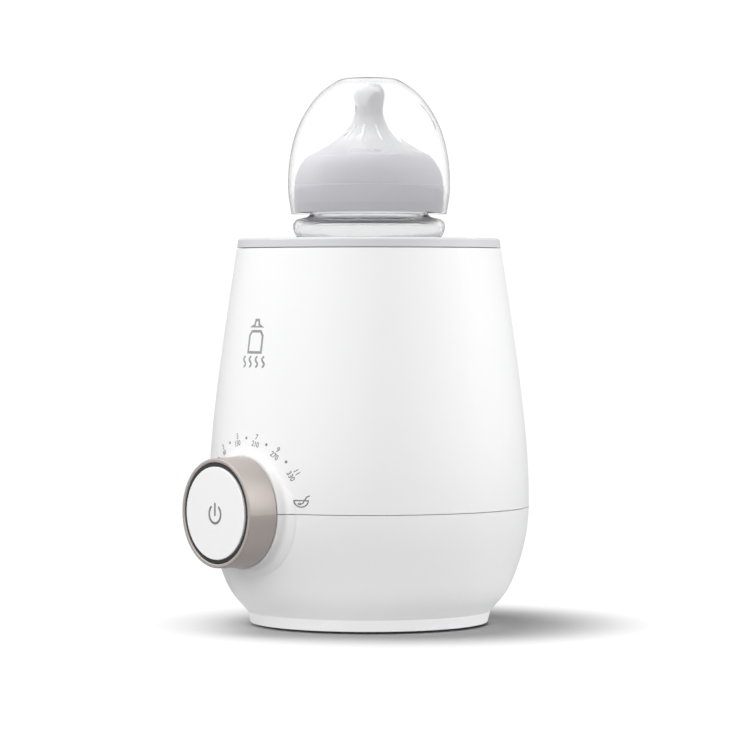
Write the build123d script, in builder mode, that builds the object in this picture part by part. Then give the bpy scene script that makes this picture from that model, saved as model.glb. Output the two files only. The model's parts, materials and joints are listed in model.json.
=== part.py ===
"""Countertop bottle warmer with a rotary dial, a push button and a baby bottle in its well.

Millimetres. The origin is on the floor under the body's axis, +Z is up and the dial faces -Y.
Profiles of round pieces are drawn as (radius, height). Pieces on the dial's axis are drawn as
(radius, depth), where depth is the distance from the body's axis towards the dial's face.
"""
import os
from math import cos, radians, sin

from build123d import *

os.makedirs("parts", exist_ok=True)

# ---------------------------------------------------------------- driving dimensions
FIT = 0.05                 # radial running clearance
SNUG = 0.02                # radial clearance of pieces pushed on to stay

# housing
WALL = 2.4                 # moulded wall
SKIRT_Z = 1.2              # the housing hangs this far above the floor on its foot ring
FOOT_CORNER_Z = 6.0        # where the bowl meets the upright foot skirt
FOOT_R = 52.6              # foot skirt's outer radius at that corner
BELLY_R, BELLY_Z = 69.25, 54.0
SEAM_Z = 51.2              # joint between the two shells, also the dial's height
SEAM_GAP = 0.3
TONGUE_R0, TONGUE_R1 = 65.2, 67.3   # locating tongue inside the seam
TOP_R, TOP_Z = 57.1, 162.3
BASE_Z0, HEAD_Z = 2.0, 3.4  # base plate's underside and its screw seats
BASE_R = 48.9
SLOT_L, SLOT_W, SLOT_PITCH, SLOT_COUNT = 26.0, 2.4, 6.0, 5   # vents in the base plate
FOOT_RING_R0, FOOT_RING_R1 = 43.4, 48.4
RIM_Z0, RIM_Z1 = 162.7, 166.7
FLOOR_Z0, FLOOR_Z1 = 4.6, 7.0   # inner floor ring of the lower housing
FLOOR_HOLE_R = 35.0

# heating chamber
CHAMBER_R = 40.0
CHAMBER_WALL = 1.2
CHAMBER_FLOOR_Z = 64.0
CHAMBER_BASE_Z = 62.6
FLANGE_Z0, FLANGE_Z1 = 154.0, 155.2
SEAL_Z1 = 156.4
PLATE_Z0 = 58.6            # underside of the heater plate
FRAME_Z0, FRAME_Z1 = 44.0, 46.4
POST_R, POST_PITCH_R = 4.0, 39.0
LEDGE_R, LEDGE_T = 36.5, 2.2       # ledge of the inner frame under the chamber
FRAME_R, FRAME_WALL_R0, FRAME_WALL_R1, FRAME_TOP_Z = 52.0, 45.0, 47.2, 68.0
SLEEVE_R0, SLEEVE_R1, SLEEVE_Z0, SLEEVE_Z1 = 41.4, 44.4, 70.0, 150.0   # felt round the chamber

# heater under the chamber
PLATE_R = 34.0
ELEMENT_R, ELEMENT_RING_R, ELEMENT_GAP = 3.2, 25.0, 60.0   # sheathed heating tube, bent into an open ring
ELEMENT_Z = PLATE_Z0 - ELEMENT_R - FIT
TERMINAL_R, TERMINAL_Z = 1.6, 47.0
ELEMENT_LEAD_X, ELEMENT_LEAD_Y = 14.5, 21.65
CLAMP_L, CLAMP_W, CLAMP_T = 64.0, 10.0, 1.5
CLAMP_Z1 = ELEMENT_Z - ELEMENT_R - FIT
NUT_R, NUT_H, CLAMP_THREAD_R = 3.8, 2.4, 1.95
FUSE_R, FUSE_L, FUSE_X, FUSE_Y = 2.0, 12.0, -6.0, 13.0
FUSE_WIRE_R, FUSE_WIRE_L = 0.5, 18.0
FUSE_Z = PLATE_Z0 - FUSE_R - FIT
THERMOSTAT_R, THERMOSTAT_H, THERMOSTAT_Y = 6.8, 6.0, -13.0
BLADE_X, BLADE_T, BLADE_W, BLADE_L = 3.6, 0.8, 4.8, 5.0
SENSOR_X, SENSOR_Y, SENSOR_Z0 = 11.0, 12.0, 51.0
SENSOR_R, SENSOR_RIM_R, SENSOR_RIM_T = 2.6, 3.4, 1.2

# power board
BOARD_Z0, BOARD_Z1 = 20.0, 21.6
BOARD_X, BOARD_Y = 68.0, 56.0
BOARD_POST_X, BOARD_POST_Y = 46.0, 40.0
RELAY_AT, RELAY_SIZE = (-10, 13), (19, 15, 15.4)
TRANSFORMER_AT, BOBBIN_SIZE, CORE_SIZE, WINDING_SIZE = (8, -8), (20, 18, 3), (16, 18, 12), (20, 14, 8)
CAN_AT, CAN_R, CAN_H = (-12, -10), 6.3, 17.0
FILM_AT, FILM_SIZE = (12, 10), (17, 7, 12)
BLOCK_AT, BLOCK_SIZE, BLOCK_POLE_X = (9, 23), (15, 8, 10), 3.5
CARTRIDGE_X, CARTRIDGE_Z, CARTRIDGE_R, CARTRIDGE_L = 29.0, 3.6, 2.5, 16.0
CLIP_YS, CLIP_W, CLIP_H, CLIP_T = (-9.5, 1.5), 6.4, 3.6, 1.5

# screws: head radius, head height, thread radius, thread length
BASE_SCREW = (3.4, 1.2, 1.45, 15.0)
BOARD_SCREW = (2.4, 1.6, 1.15, 8.0)
CONTROL_SCREW = (1.9, 1.3, 0.85, 4.6)
CORE_SCREW = (1.8, 1.3, 0.8, 5.2)

# dial group, depths from the body's axis
PAD = 69.9                 # face of the housing boss
PAD_BACK = 67.2
BOSS_R, POCKET_R = 24.3, 21.8
BOSS_FLARE_R, BOSS_FLARE0, BOSS_FLARE1 = 28.0, 63.0, 67.6   # soft root where the boss meets the body
DIAL_BACK, DIAL_FACE = 70.3, 84.4
DIAL_BACK_R, DIAL_FACE_R = 23.5, 23.0
LIP_R = 21.25
WEB_BACK, WEB_FACE = 77.6, 80.0
SLEEVE_OUT_R, SLEEVE_IN_R, SLEEVE_BACK = 14.9, 13.25, 62.0
CORE_R, CORE_BORE_R = SLEEVE_IN_R - FIT, 11.6
CORE_FLANGE = 80.3
RING_BOARD = 81.8
BUTTON_R, BUTTON_FACE, BUTTON_BACK = 19.5, 84.7, 83.5
STEM_R, STEM_END = 2.4, 62.5
CORE_FLOOR0, CORE_FLOOR1 = 70.0, 72.0
PCB_BACK, PCB_FACE = 56.4, 58.0
PCB_X, PCB_Z = 52.0, 34.0
PCB_POST_X, PCB_POST_Z = 44.0, 26.0
PIN_PITCH_R, CORE_SCREW_R = 12.4, 10.4
PIN_R, PIN_HOLE_R = 0.4, 0.45
WHEEL_MID = 63.0           # middle of the slotted code wheel
WHEEL_R, WHEEL_T, WHEEL_SLOTS = 19.6, 0.8, 36
RETAINER_R, RETAINER_T = 17.8, 1.2
LED_RING_R, LED_W, LED_L, LED_T, RING_BOARD_T = 19.9, 0.5, 1.4, 0.45, 0.8
GUIDE_R, GUIDE_LIP_R, GUIDE_Z = 21.0, 19.75, 84.0   # light guide round the button
POINTER_D0, POINTER_W, POINTER_L = 82.0, 1.0, 3.0

# cord gland, keyed by its square neck
GLAND_Z, GLAND_PAD_Y, GLAND_PAD_R = 28.0, 67.5, 9.5
GLAND_BORE_R, GLAND_INNER_R, GLAND_OUTER_R, GLAND_HOLE = 3.3, 6.6, 8.0, 9.4
GLAND_Y0, GLAND_Y1 = 60.2, 69.2

# leads between the heater, the sensor and the boards
LEAD_R, SENSOR_LEAD_R, LEAD_BEND = 1.1, 0.8, 4.0
LEAD_OUT = 5.0              # the heater leads spread apart by this much on their way down
CABLE_X, CABLE_Z, CABLE_SOCKET_Y = 12.0, SEAM_Z - 13.0, -24.5
RIBBON_W, RIBBON_T, SOCKET_SIZE = 8.0, 1.2, (10.0, 5.0)

# bottle
BOTTLE_BASE_Z = 64.2
BOTTLE_WALL = 1.8
NECK_R, NECK_TOP_Z = 25.4, 195.0
COLLAR_R, COLLAR_Z0, COLLAR_Z1 = 32.4, 178.0, 203.1
COLLAR_BORE_R = 27.4
TEAT_Z0, TEAT_TIP_Z = 195.3, 233.3
TEAT_BORE_R, TEAT_FLANGE_R = 22.0, 26.9
CAP_WALL = 1.15
CAP_R, CAP_Z0, CAP_TOP_Z = 33.6, 177.4, 236.0
DENT_R, DENT_X, DENT_Z = 90.0, 112.3, 245.4   # big sphere that presses a finger dent into each side
DENT_EDGE = 10.0           # soft edge of each dent

# ---------------------------------------------------------------- shared planes
DIAL_SECTION = Plane(origin=(0, 0, SEAM_Z), x_dir=(1, 0, 0), z_dir=(0, 0, -1))
DIAL_AXIS = Axis((0, 0, SEAM_Z), (0, -1, 0))
GLAND_SECTION = Plane(origin=(0, 0, GLAND_Z), x_dir=(1, 0, 0), z_dir=(0, 0, 1))
GLAND_AXIS = Axis((0, 0, GLAND_Z), (0, 1, 0))


def across_dial(depth):
    """Plane square to the dial's axis: local x runs along X, local y runs up."""
    return Plane(origin=(0, -depth, SEAM_Z), x_dir=(1, 0, 0), z_dir=(0, -1, 0))


def across_gland(depth):
    """Plane square to the cord gland's axis, facing the rear."""
    return Plane(origin=(0, depth, GLAND_Z), x_dir=(1, 0, 0), z_dir=(0, 1, 0))


def finish(piece, label):
    """Name a finished piece and write it."""
    piece.part.label = label
    export_step(piece.part, f"parts/{label}.step")


def housing_side():
    """The housing's outer side from its top edge, over the belly, to the foot skirt."""
    Spline((TOP_R, TOP_Z), (63.3, 120.5), (67.85, 82.4), (BELLY_R, BELLY_Z), tangents=[(0.155, -1), (0, -1)])
    Spline((BELLY_R, BELLY_Z), (67.75, 37.4), (63.8, 23.5), (58.7, 13.1), (FOOT_R, FOOT_CORNER_Z),
           tangents=[(0, -1), (-0.85, -1)])


def cavity_side():
    """The housing's inner side, one wall thickness inside the outer side."""
    Spline((TOP_R - WALL, TOP_Z), (60.95, 120.2), (65.46, 82.2), (BELLY_R - WALL, BELLY_Z),
           tangents=[(0.155, -1), (0, -1)])
    Spline((BELLY_R - WALL, BELLY_Z), (65.4, 38.0), (61.6, 24.6), (56.75, 14.5),
           (FOOT_R - WALL + 0.6, FLOOR_Z1 + 0.5), tangents=[(0, -1), (-0.85, -1)])


# ---------------------------------------------------------------- housing
with BuildPart() as envelope:
    with BuildSketch(Plane.XZ):
        with BuildLine():
            housing_side()
            Polyline((FOOT_R, FOOT_CORNER_Z), (FOOT_R - 1.2, SKIRT_Z), (0, SKIRT_Z), (0, TOP_Z),
                     (TOP_R, TOP_Z))
        make_face()
    revolve(axis=Axis.Z)
    with BuildSketch(DIAL_SECTION):
        with BuildLine():
            Polyline((BOSS_R, BOSS_FLARE1), (BOSS_R, PAD), (0, PAD), (0, 55), (BOSS_FLARE_R, 55),
                     (BOSS_FLARE_R, BOSS_FLARE0))
            Spline((BOSS_FLARE_R, BOSS_FLARE0), (BOSS_R, BOSS_FLARE1), tangents=[(-0.35, 1), (0, 1)])
        make_face()
    revolve(axis=DIAL_AXIS)
    with BuildSketch(GLAND_SECTION):
        with BuildLine():
            Polyline((0, 50), (GLAND_PAD_R, 50), (GLAND_PAD_R, GLAND_PAD_Y - 0.8),
                     (GLAND_PAD_R - 0.8, GLAND_PAD_Y), (0, GLAND_PAD_Y), (0, 50))
        make_face()
    revolve(axis=GLAND_AXIS)

with BuildPart() as cavity:
    with BuildSketch(Plane.XZ):
        with BuildLine():
            cavity_side()
            Polyline((FOOT_R - WALL + 0.6, FLOOR_Z1 + 0.5), (FOOT_R - WALL, FLOOR_Z1), (0, FLOOR_Z1),
                     (0, TOP_Z + 5), (TOP_R - WALL, TOP_Z + 5), (TOP_R - WALL, TOP_Z))
        make_face()
    revolve(axis=Axis.Z)
    with BuildSketch(across_dial(50)):
        Circle(POCKET_R)
    extrude(amount=PAD_BACK - 50)
    with BuildSketch(across_gland(50)):
        Circle(GLAND_PAD_R - WALL)
    extrude(amount=GLAND_PAD_Y - WALL - 50)
    with BuildSketch(across_dial(PCB_FACE)):
        with GridLocations(PCB_POST_X, PCB_POST_Z, 2, 2):
            Circle(2.6)
    extrude(amount=12, mode=Mode.SUBTRACT)


with BuildPart() as shell:
    add(envelope.part)
    add(cavity.part, mode=Mode.SUBTRACT)
    with BuildSketch(across_dial(50)):
        Circle(SLEEVE_OUT_R + FIT)
    extrude(amount=30, mode=Mode.SUBTRACT)
    with BuildSketch(across_dial(PCB_FACE)):
        with GridLocations(PCB_POST_X, PCB_POST_Z, 2, 2):
            Circle(0.9)
    extrude(amount=3.4, mode=Mode.SUBTRACT)

with BuildPart() as upper_housing:
    add(shell.part)
    split(bisect_by=Plane.XY.offset(SEAM_Z + SEAM_GAP / 2), keep=Keep.TOP)
finish(upper_housing, "upper_housing")

# tongue that locates the upper housing, cut away behind the dial boss
with BuildPart() as tongue:
    with BuildSketch(Plane.XZ):
        with BuildLine():
            Polyline((TONGUE_R0, 44), (TONGUE_R1, 44), (TONGUE_R1, 50.9), (TONGUE_R1 - 0.7, 51.05),
                     (TONGUE_R1 - 0.7, 54), (TONGUE_R0, 54), (TONGUE_R0, 44))
        make_face()
    revolve(axis=Axis.Z)
    with BuildSketch(across_dial(50)):
        Circle(BOSS_R)
    extrude(amount=30, mode=Mode.SUBTRACT)

with BuildPart() as lower_housing:
    add(shell.part)
    split(bisect_by=Plane.XY.offset(SEAM_Z - SEAM_GAP / 2), keep=Keep.BOTTOM)
    add(tongue.part)
    # open the underside, leaving a floor ring with four screw holes
    with BuildSketch(Plane.XY.offset(SKIRT_Z)):
        Circle(FOOT_R - 1.2 - WALL)
    extrude(amount=FLOOR_Z0 - SKIRT_Z, mode=Mode.SUBTRACT)
    with BuildSketch(Plane.XY.offset(FLOOR_Z0)):
        Circle(FLOOR_HOLE_R)
    extrude(amount=FLOOR_Z1 - FLOOR_Z0, mode=Mode.SUBTRACT)
    with BuildSketch(Plane.XY.offset(FLOOR_Z0)):
        with PolarLocations(POST_PITCH_R, 4):
            Circle(1.7)
    extrude(amount=FLOOR_Z1 - FLOOR_Z0, mode=Mode.SUBTRACT)
    with BuildSketch(across_gland(50)):
        RectangleRounded(GLAND_HOLE, GLAND_HOLE, 2)
    extrude(amount=20, mode=Mode.SUBTRACT)
finish(lower_housing, "lower_housing")

with BuildPart() as base_plate:
    with BuildSketch(Plane.XY.offset(BASE_Z0)):
        Circle(BASE_R)
    extrude(amount=FLOOR_Z0 - BASE_Z0)
    with BuildSketch(Plane.XY.offset(FLOOR_Z0)):
        with GridLocations(BOARD_POST_X, BOARD_POST_Y, 2, 2):
            Circle(3.0)
    extrude(amount=BOARD_Z0 - FLOOR_Z0)
    with BuildSketch(Plane.XY.offset(BOARD_Z0)):
        with GridLocations(BOARD_POST_X, BOARD_POST_Y, 2, 2):
            Circle(1.2)
    extrude(amount=-8, mode=Mode.SUBTRACT)
    with BuildSketch(Plane.XY.offset(BASE_Z0)):
        with PolarLocations(POST_PITCH_R, 4):
            Circle(1.7)
        with GridLocations(0, SLOT_PITCH, 1, SLOT_COUNT):
            SlotOverall(SLOT_L, SLOT_W)
    extrude(amount=FLOOR_Z0 - BASE_Z0, mode=Mode.SUBTRACT)
    with BuildSketch(Plane.XY.offset(BASE_Z0)):
        with PolarLocations(POST_PITCH_R, 4):
            Circle(3.6)
    extrude(amount=HEAD_Z - BASE_Z0, mode=Mode.SUBTRACT)
finish(base_plate, "base_plate")

with BuildPart() as foot_ring:
    with BuildSketch(Plane.XZ):
        with BuildLine():
            Polyline((FOOT_RING_R0, BASE_Z0), (FOOT_RING_R0 + 0.5, 0.5), (FOOT_RING_R0 + 1, 0),
                     (FOOT_RING_R1 - 1, 0), (FOOT_RING_R1 - 0.5, 0.5), (FOOT_RING_R1, BASE_Z0),
                     (FOOT_RING_R0, BASE_Z0))
        make_face()
    revolve(axis=Axis.Z)
finish(foot_ring, "foot_ring")

with BuildPart() as base_screws:
    head_r, head_h, thread_r, thread_l = BASE_SCREW
    with BuildSketch(Plane.XY.offset(HEAD_Z)):
        with PolarLocations(POST_PITCH_R, 4):
            Circle(head_r)
    extrude(amount=-head_h)
    # cross recess
    with BuildSketch(Plane.XY.offset(HEAD_Z - head_h)):
        with PolarLocations(POST_PITCH_R, 4):
            Rectangle(head_r, 0.8)
            Rectangle(0.8, head_r)
    extrude(amount=head_h / 2, mode=Mode.SUBTRACT)
    with BuildSketch(Plane.XY.offset(HEAD_Z)):
        with PolarLocations(POST_PITCH_R, 4):
            Circle(thread_r)
    extrude(amount=thread_l)
finish(base_screws, "base_screws")

# ---------------------------------------------------------------- rim and heating chamber
with BuildPart() as rim_ring:
    with BuildSketch(Plane.XZ):
        with BuildLine():
            Polyline((40.3, SEAL_Z1 + 0.9), (40.3, SEAL_Z1), (45.6, SEAL_Z1), (47.5, 159.4), (52.0, 162.2),
                     (52.6, 155.0), (54.2, 155.0), (54.4, RIM_Z0), (57.0, RIM_Z0), (56.6, RIM_Z1 - 1.0))
            ThreePointArc((56.6, RIM_Z1 - 1.0), (56.2, RIM_Z1 - 0.25), (55.4, RIM_Z1))
            Spline((55.4, RIM_Z1), (49.6, 163.9), (44.2, 159.9), (40.3, SEAL_Z1 + 0.9),
                   tangents=[(-1, -0.12), (-0.6, -1)])
        make_face()
    revolve(axis=Axis.Z)
finish(rim_ring, "rim_ring")

with BuildPart() as chamber_seal:
    with BuildSketch(Plane.XY.offset(FLANGE_Z1)):
        Circle(45.2)
        Circle(41.4, mode=Mode.SUBTRACT)
    extrude(amount=SEAL_Z1 - FLANGE_Z1)
finish(chamber_seal, "chamber_seal")

with BuildPart() as heating_chamber:
    with BuildSketch(Plane.XZ):
        with BuildLine() as cup:
            FilletPolyline((0, CHAMBER_FLOOR_Z), (CHAMBER_R, CHAMBER_FLOOR_Z), (CHAMBER_R, FLANGE_Z1),
                           radius=4)
            FilletPolyline((CHAMBER_R, FLANGE_Z1), (46.2, FLANGE_Z1), (46.2, FLANGE_Z0),
                           (CHAMBER_R + CHAMBER_WALL, FLANGE_Z0), radius=0.3)
            FilletPolyline((CHAMBER_R + CHAMBER_WALL, FLANGE_Z0), (CHAMBER_R + CHAMBER_WALL, CHAMBER_BASE_Z),
                           (0, CHAMBER_BASE_Z), radius=5)
            Line((0, CHAMBER_BASE_Z), (0, CHAMBER_FLOOR_Z))
        make_face()
    revolve(axis=Axis.Z)
finish(heating_chamber, "heating_chamber")

with BuildPart() as insulation_sleeve:
    with BuildSketch(Plane.XY.offset(SLEEVE_Z0)):
        Circle(SLEEVE_R1)
        Circle(SLEEVE_R0, mode=Mode.SUBTRACT)
    extrude(amount=SLEEVE_Z1 - SLEEVE_Z0)
finish(insulation_sleeve, "insulation_sleeve")

with BuildPart() as heater_plate:
    with BuildSketch(Plane.XY.offset(PLATE_Z0)):
        Circle(PLATE_R)
    extrude(amount=CHAMBER_BASE_Z - PLATE_Z0)
    fillet(heater_plate.edges().group_by(Axis.Z)[0], radius=0.8)
    with BuildSketch(Plane.XY.offset(PLATE_Z0)):
        Circle(2.0)
    extrude(amount=2.4, mode=Mode.SUBTRACT)
finish(heater_plate, "heater_plate")

with BuildPart() as heating_element:
    with BuildLine():
        CenterArc((0, 0, ELEMENT_Z), ELEMENT_RING_R, 90 + ELEMENT_GAP / 2, 360 - ELEMENT_GAP)
    with BuildSketch(Plane(origin=(-ELEMENT_RING_R * sin(radians(ELEMENT_GAP / 2)),
                                   ELEMENT_RING_R * cos(radians(ELEMENT_GAP / 2)), ELEMENT_Z),
                           z_dir=(-cos(radians(ELEMENT_GAP / 2)), -sin(radians(ELEMENT_GAP / 2)), 0))):
        Circle(ELEMENT_R)
    sweep()
finish(heating_element, "heating_element")

with BuildPart() as heater_terminals:
    for side in (-1, 1):
        x = side * (ELEMENT_RING_R * sin(radians(ELEMENT_GAP / 2)))
        y = ELEMENT_RING_R * cos(radians(ELEMENT_GAP / 2))
        with BuildSketch(Plane.XY.offset(TERMINAL_Z)):
            with Locations((x + side * 2, y)):
                Circle(TERMINAL_R)
        extrude(amount=ELEMENT_Z - ELEMENT_R - FIT - TERMINAL_Z)
finish(heater_terminals, "heater_terminals")

with BuildPart() as element_clamp:
    with BuildSketch(Plane.XY.offset(CLAMP_Z1 - CLAMP_T)):
        SlotOverall(CLAMP_L, CLAMP_W)
        Circle(CLAMP_THREAD_R + 0.25, mode=Mode.SUBTRACT)
    extrude(amount=CLAMP_T)
finish(element_clamp, "element_clamp")

with BuildPart() as clamp_screw:
    with BuildSketch(Plane.XY.offset(CLAMP_Z1 - CLAMP_T)):
        RegularPolygon(NUT_R, 6)
    extrude(amount=-NUT_H)
    with BuildSketch(Plane.XY.offset(CLAMP_Z1 - CLAMP_T)):
        Circle(CLAMP_THREAD_R)
    extrude(amount=10)
finish(clamp_screw, "clamp_screw")

with BuildPart() as thermal_fuse:
    with BuildSketch(Plane.YZ.offset(FUSE_X - FUSE_L / 2)):
        with Locations((FUSE_Y, FUSE_Z)):
            Circle(FUSE_R)
    extrude(amount=FUSE_L)
    with BuildSketch(Plane.YZ.offset(FUSE_X - FUSE_WIRE_L / 2)):
        with Locations((FUSE_Y, FUSE_Z)):
            Circle(FUSE_WIRE_R)
    extrude(amount=FUSE_WIRE_L)
finish(thermal_fuse, "thermal_fuse")

with BuildPart() as fuse_clip:
    with BuildSketch(Plane.YZ.offset(FUSE_X - 2.5)):
        with Locations((FUSE_Y, FUSE_Z)):
            Rectangle(2 * FUSE_R + 2.2, 2 * FUSE_R + 2.2)
            Circle(FUSE_R + FIT, mode=Mode.SUBTRACT)
        with Locations((FUSE_Y, FUSE_Z + FUSE_R / 2 + 1)):
            Rectangle(2 * FUSE_R + 2 * FIT, FUSE_R + 2, mode=Mode.SUBTRACT)
        with Locations((FUSE_Y, PLATE_Z0 + 2)):
            Rectangle(12, 4, mode=Mode.SUBTRACT)
    extrude(amount=5)
finish(fuse_clip, "fuse_clip")

with BuildPart() as safety_thermostat:
    with BuildSketch(Plane.XY.offset(PLATE_Z0 - THERMOSTAT_H)):
        with Locations((0, THERMOSTAT_Y)):
            Circle(THERMOSTAT_R)
    extrude(amount=THERMOSTAT_H)
    fillet(safety_thermostat.edges().group_by(Axis.Z)[0], radius=0.8)
    with BuildSketch(Plane.XY.offset(PLATE_Z0 - THERMOSTAT_H)):
        with Locations((-BLADE_X, THERMOSTAT_Y), (BLADE_X, THERMOSTAT_Y)):
            Rectangle(BLADE_T, BLADE_W)
    extrude(amount=-BLADE_L)
finish(safety_thermostat, "safety_thermostat")

with BuildPart() as temperature_sensor:
    with BuildSketch(Plane.XY.offset(SENSOR_Z0)):
        with Locations((SENSOR_X, SENSOR_Y)):
            Circle(SENSOR_RIM_R)
    extrude(amount=SENSOR_RIM_T)
    with BuildSketch(Plane.XY.offset(SENSOR_Z0 + SENSOR_RIM_T)):
        with Locations((SENSOR_X, SENSOR_Y)):
            Circle(SENSOR_R)
    extrude(amount=PLATE_Z0 - SENSOR_Z0 - SENSOR_RIM_T)
    fillet(temperature_sensor.edges().group_by(Axis.Z)[-1], radius=0.8)
finish(temperature_sensor, "temperature_sensor")

with BuildPart() as sensor_spring:
    with BuildLine():
        coil = Helix(pitch=1.2, height=SENSOR_Z0 - FRAME_Z1 - 0.7, radius=2.4,
                     center=(SENSOR_X, SENSOR_Y, FRAME_Z1 + 0.35))
    with BuildSketch(Plane(origin=coil @ 0, z_dir=coil % 0)):
        Circle(0.3)
    sweep(is_frenet=True)
finish(sensor_spring, "sensor_spring")

with BuildPart() as inner_frame:
    with BuildSketch(Plane.XY.offset(FRAME_Z0)):
        Circle(FRAME_R)
        for x in (-ELEMENT_LEAD_X, ELEMENT_LEAD_X):
            with Locations((x, ELEMENT_LEAD_Y)):
                Circle(4.5, mode=Mode.SUBTRACT)
        with Locations((0, THERMOSTAT_Y)):
            Circle(8, mode=Mode.SUBTRACT)
        with Locations((-16, 0)):
            SlotOverall(14, 7, mode=Mode.SUBTRACT)
        with Locations((SENSOR_X - 9, SENSOR_Y - 2)):
            Circle(3.4, mode=Mode.SUBTRACT)
    extrude(amount=FRAME_Z1 - FRAME_Z0)
    # wall and ledge that carry the heating chamber
    with BuildSketch(Plane.XZ):
        with BuildLine():
            Polyline((FRAME_WALL_R1, FRAME_Z1), (FRAME_WALL_R1, FRAME_TOP_Z), (FRAME_WALL_R0, FRAME_TOP_Z),
                     (FRAME_WALL_R0, CHAMBER_BASE_Z), (LEDGE_R, CHAMBER_BASE_Z),
                     (LEDGE_R, CHAMBER_BASE_Z - LEDGE_T), (FRAME_WALL_R0, CHAMBER_BASE_Z - LEDGE_T),
                     (FRAME_WALL_R0, FRAME_Z1), (FRAME_WALL_R1, FRAME_Z1))
        make_face()
    revolve(axis=Axis.Z)
    with BuildSketch(Plane.XY.offset(FLOOR_Z1)):
        with PolarLocations(POST_PITCH_R, 4):
            Circle(POST_R)
    extrude(amount=FRAME_Z0 - FLOOR_Z1)
    with BuildSketch(Plane.XY.offset(FLOOR_Z1)):
        with PolarLocations(POST_PITCH_R, 4):
            Circle(1.5)
    extrude(amount=13, mode=Mode.SUBTRACT)
finish(inner_frame, "inner_frame")

# ---------------------------------------------------------------- power board
with BuildPart() as power_board:
    with BuildSketch(Plane.XY.offset(BOARD_Z0)):
        RectangleRounded(BOARD_X, BOARD_Y, 2)
        with GridLocations(BOARD_POST_X, BOARD_POST_Y, 2, 2):
            Circle(1.5, mode=Mode.SUBTRACT)
    extrude(amount=BOARD_Z1 - BOARD_Z0)
finish(power_board, "power_board")

with BuildPart() as board_screws:
    head_r, head_h, thread_r, thread_l = BOARD_SCREW
    with BuildSketch(Plane.XY.offset(BOARD_Z1)):
        with GridLocations(BOARD_POST_X, BOARD_POST_Y, 2, 2):
            Circle(head_r)
    extrude(amount=head_h)
    with BuildSketch(Plane.XY.offset(BOARD_Z1)):
        with GridLocations(BOARD_POST_X, BOARD_POST_Y, 2, 2):
            Circle(thread_r)
    extrude(amount=-thread_l)
finish(board_screws, "board_screws")

with BuildPart() as relay:
    length, width, height = RELAY_SIZE
    with BuildSketch(Plane.XY.offset(BOARD_Z1)):
        with Locations(RELAY_AT):
            Rectangle(length, width)
    extrude(amount=height)
    fillet(relay.edges().filter_by(Axis.Z), radius=0.6)
finish(relay, "relay")

# bobbin foot, ferrite core and the winding between them
with BuildPart() as transformer:
    bottom = BOARD_Z1
    for (length, width, height), rise in ((BOBBIN_SIZE, BOBBIN_SIZE[2]), (CORE_SIZE, 2), (WINDING_SIZE, 0)):
        with BuildSketch(Plane.XY.offset(bottom)):
            with Locations(TRANSFORMER_AT):
                Rectangle(length, width)
        extrude(amount=height)
        bottom += rise
finish(transformer, "transformer")

with BuildPart() as filter_capacitor:
    with BuildSketch(Plane.XY.offset(BOARD_Z1)):
        with Locations(CAN_AT):
            Circle(CAN_R)
    extrude(amount=CAN_H)
    fillet(filter_capacitor.edges().group_by(Axis.Z)[-1], radius=0.8)
finish(filter_capacitor, "filter_capacitor")

with BuildPart() as suppression_capacitor:
    length, width, height = FILM_SIZE
    with BuildSketch(Plane.XY.offset(BOARD_Z1)):
        with Locations(FILM_AT):
            Rectangle(length, width)
    extrude(amount=height)
    fillet(suppression_capacitor.edges().group_by(Axis.Z)[-1], radius=0.8)
finish(suppression_capacitor, "suppression_capacitor")

with BuildPart() as terminal_block:
    length, width, height = BLOCK_SIZE
    with BuildSketch(Plane.XY.offset(BOARD_Z1)):
        with Locations(BLOCK_AT):
            Rectangle(length, width)
    extrude(amount=height)
    with BuildSketch(Plane.XY.offset(BOARD_Z1 + height)):
        with Locations(BLOCK_AT):
            with GridLocations(2 * BLOCK_POLE_X, 0, 2, 1):
                Circle(2.2)
    extrude(amount=-3, mode=Mode.SUBTRACT)
finish(terminal_block, "terminal_block")

with BuildPart() as mains_fuse:
    with BuildSketch(Plane.XZ.offset(-4)):
        with Locations((CARTRIDGE_X, BOARD_Z1 + CARTRIDGE_Z)):
            Circle(CARTRIDGE_R)
    extrude(amount=CARTRIDGE_L)
    for y in CLIP_YS:
        with BuildSketch(Plane.XZ.offset(-y)):
            with Locations((CARTRIDGE_X, BOARD_Z1 + CLIP_H / 2)):
                Rectangle(CLIP_W, CLIP_H)
        extrude(amount=CLIP_T)
finish(mains_fuse, "mains_fuse")

# ---------------------------------------------------------------- control board behind the dial
with BuildPart() as control_board:
    with BuildSketch(across_dial(PCB_BACK)):
        RectangleRounded(PCB_X, PCB_Z, 2)
        with GridLocations(PCB_POST_X, PCB_POST_Z, 2, 2):
            Circle(1.2, mode=Mode.SUBTRACT)
        with PolarLocations(CORE_SCREW_R, 3, 90):
            Circle(1.2, mode=Mode.SUBTRACT)
        with PolarLocations(PIN_PITCH_R, 4, 45):
            Circle(PIN_HOLE_R, mode=Mode.SUBTRACT)
    extrude(amount=PCB_FACE - PCB_BACK)
finish(control_board, "control_board")

with BuildPart() as control_screws:
    head_r, head_h, thread_r, thread_l = CONTROL_SCREW
    with BuildSketch(across_dial(PCB_BACK)):
        with GridLocations(PCB_POST_X, PCB_POST_Z, 2, 2):
            Circle(head_r)
    extrude(amount=-head_h)
    with BuildSketch(across_dial(PCB_BACK)):
        with GridLocations(PCB_POST_X, PCB_POST_Z, 2, 2):
            Circle(thread_r)
    extrude(amount=thread_l)
finish(control_screws, "control_screws")

with BuildPart() as microcontroller:
    with BuildSketch(across_dial(PCB_BACK)):
        with Locations((-19, 0)):
            Rectangle(8, 8)
    extrude(amount=-1.4)
finish(microcontroller, "microcontroller")

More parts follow.
